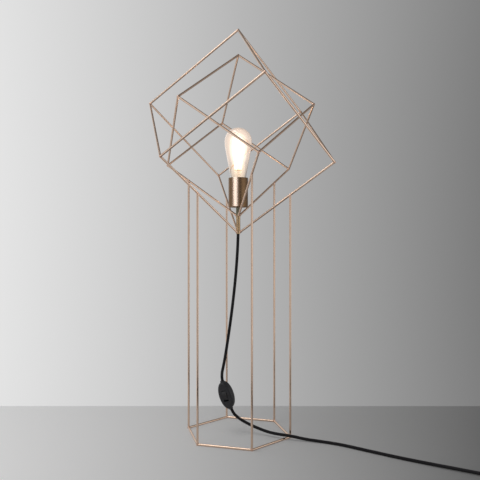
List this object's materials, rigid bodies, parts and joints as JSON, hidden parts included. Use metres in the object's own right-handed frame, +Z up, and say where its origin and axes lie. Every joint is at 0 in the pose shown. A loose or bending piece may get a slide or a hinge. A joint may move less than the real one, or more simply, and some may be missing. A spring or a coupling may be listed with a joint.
{
  "type": "wire table lamp",
  "caption": "Table lamp of thin copper-coloured wire: a cube inside a larger cube, each on its corner, round a bare bulb, on a tall hexagonal wire stand, with a switched textile lead.",
  "frame": {"origin": "middle of the hexagonal base, on the surface that the lamp stands on", "axes": "+Z up the lamp's axis through stem and bulb; +X from the axis to upright_1, beside which the lead leaves"},
  "size_m": [0.9098, 0.401, 0.9635],
  "materials": {
    "wire": "polished copper plating",
    "stem": "satin",
    "cup": "brushed bronze",
    "porcelain": "glazed porcelain",
    "screw_steel": "zinc plated",
    "contact_brass": "pressed",
    "bulb_glass": "clear",
    "cap_nickel": "nickel plated",
    "cap_glass": "black glass",
    "filament": "lit, warm white",
    "cord": "braided textile",
    "switch_plastic": "moulded",
    "tie_plastic": "moulded",
    "plug_plastic": "moulded"
  },
  "bodies": {
    "lamp_frame": {"base_ring": "wire", "upright_1": "wire", "upright_2": "wire", "upright_3": "wire", "upright_4": "wire", "upright_5": "wire", "upright_6": "wire", "outer_lower_rod_1": "wire", "outer_lower_rod_2": "wire", "outer_lower_rod_3": "wire", "outer_middle_rod_1": "wire", "outer_middle_rod_2": "wire", "outer_middle_rod_3": "wire", "outer_middle_rod_4": "wire", "outer_middle_rod_5": "wire", "outer_middle_rod_6": "wire", "outer_upper_rod_1": "wire", "outer_upper_rod_2": "wire", "outer_upper_rod_3": "wire", "inner_lower_rod_1": "wire", "inner_lower_rod_2": "wire", "inner_lower_rod_3": "wire", "inner_middle_rod_1": "wire", "inner_middle_rod_2": "wire", "inner_middle_rod_3": "wire", "inner_middle_rod_4": "wire", "inner_middle_rod_5": "wire", "inner_middle_rod_6": "wire", "inner_upper_rod_1": "wire", "inner_upper_rod_2": "wire", "inner_upper_rod_3": "wire", "stem_tube": "stem", "lampholder_cup": "cup", "holder_insert": "porcelain", "holder_screws": "screw_steel", "screw_shell": "contact_brass", "cord_upper": "cord", "cord_lower": "cord", "cord_coil": "cord", "cord_tail": "cord", "switch_base": "switch_plastic", "switch_cover": "switch_plastic", "switch_contacts": "contact_brass", "switch_screws": "screw_steel", "coil_tie": "tie_plastic", "plug_body": "plug_plastic", "plug_pins": "cap_nickel"},
    "contact": {"centre_contact": "contact_brass"},
    "bulb": {"bulb_glass": "bulb_glass", "bulb_cap": "cap_nickel", "bulb_cap_insulator": "cap_glass", "bulb_tip_contact": "contact_brass", "bulb_mount": "bulb_glass", "bulb_filaments": "filament", "bulb_lead_wires": "screw_steel"},
    "rocker": {"switch_rocker": "switch_plastic"}
  },
  "joints": [
    {"name": "contact_lift", "type": "slide", "parent": "lamp_frame", "child": "contact", "axis": [0, 0, 1], "range_m": [0, 0.00181]},
    {"name": "bulb_turn", "type": "hinge", "parent": "contact", "child": "bulb", "pos_m": [0, 0, 0.5965], "axis": [0, 0, 1], "range_deg": [0, 180]},
    {"name": "rocker_tilt", "type": "hinge", "parent": "lamp_frame", "child": "rocker", "pos_m": [-0.02698, -0.01316, 0.09071], "axis": [0.9535, -0.0808, 0.2904], "range_deg": [-16, 0]}
  ],
  "couplings": [
    {"joint": "contact_lift", "follows": "bulb_turn", "m_per_rad": 0.0005776}
  ]
}
